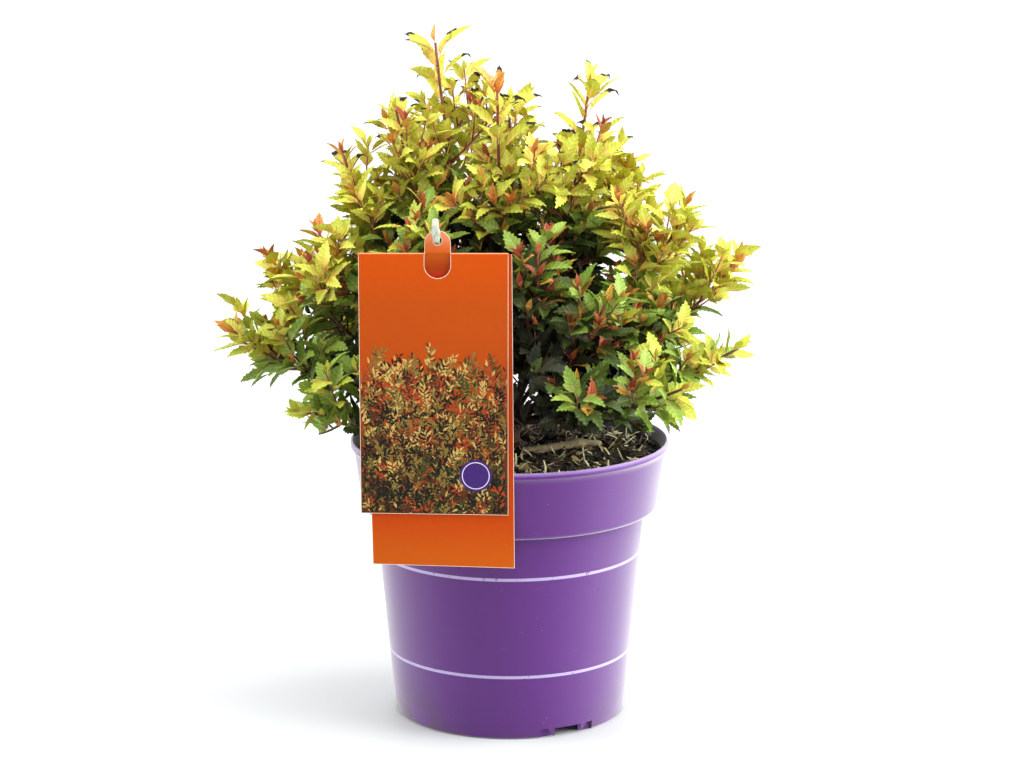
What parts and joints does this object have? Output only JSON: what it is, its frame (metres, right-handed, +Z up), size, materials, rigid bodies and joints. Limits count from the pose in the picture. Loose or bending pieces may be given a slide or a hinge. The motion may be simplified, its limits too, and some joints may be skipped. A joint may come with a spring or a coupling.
{
  "type": "potted ninebark",
  "caption": "Young ninebark shrub with lobed leaves on upright shoots, standing in a round purple nursery pot, with a blank hanging tag.",
  "frame": {"origin": "middle of the pot's flat underside, where it stands", "axes": "+Z up through the pot and the stem, the tag on the -Y side, +X to the right seen from that side"},
  "size_m": [0.411, 0.3189, 0.4997],
  "materials": {
    "pot_plastic": "satin",
    "potting_mix": "matte",
    "bark": "matte",
    "foliage": "matte",
    "tag_card": "satin",
    "stake_plastic": "satin"
  },
  "bodies": {
    "root": {"pot": "pot_plastic", "potting_mix": "potting_mix", "stem_base": "bark", "bough_01": "bark", "bough_02": "bark", "bough_03": "bark", "bough_04": "bark", "bough_05": "bark", "bough_06": "bark", "bough_07": "bark", "bough_08": "bark", "bough_09": "bark", "bough_10": "bark", "bough_11": "bark", "bough_12": "bark", "bough_13": "bark", "bough_14": "bark", "bough_15": "bark", "bough_16": "bark", "bough_17": "bark", "bough_18": "bark", "bough_19": "bark", "bough_20": "bark", "bough_21": "bark", "bough_22": "bark", "bough_23": "bark", "bough_24": "bark", "foliage_01": "foliage", "foliage_02": "foliage", "foliage_03": "foliage", "foliage_04": "foliage", "foliage_05": "foliage", "foliage_06": "foliage", "foliage_07": "foliage", "foliage_08": "foliage", "foliage_09": "foliage", "foliage_10": "foliage", "foliage_11": "foliage", "foliage_12": "foliage", "foliage_13": "foliage", "foliage_14": "foliage", "foliage_15": "foliage", "foliage_16": "foliage", "foliage_17": "foliage", "foliage_18": "foliage", "foliage_19": "foliage", "foliage_20": "foliage", "foliage_21": "foliage", "foliage_22": "foliage", "foliage_23": "foliage", "foliage_24": "foliage", "tag": "tag_card", "tag_stake": "stake_plastic"}
  },
  "joints": []
}
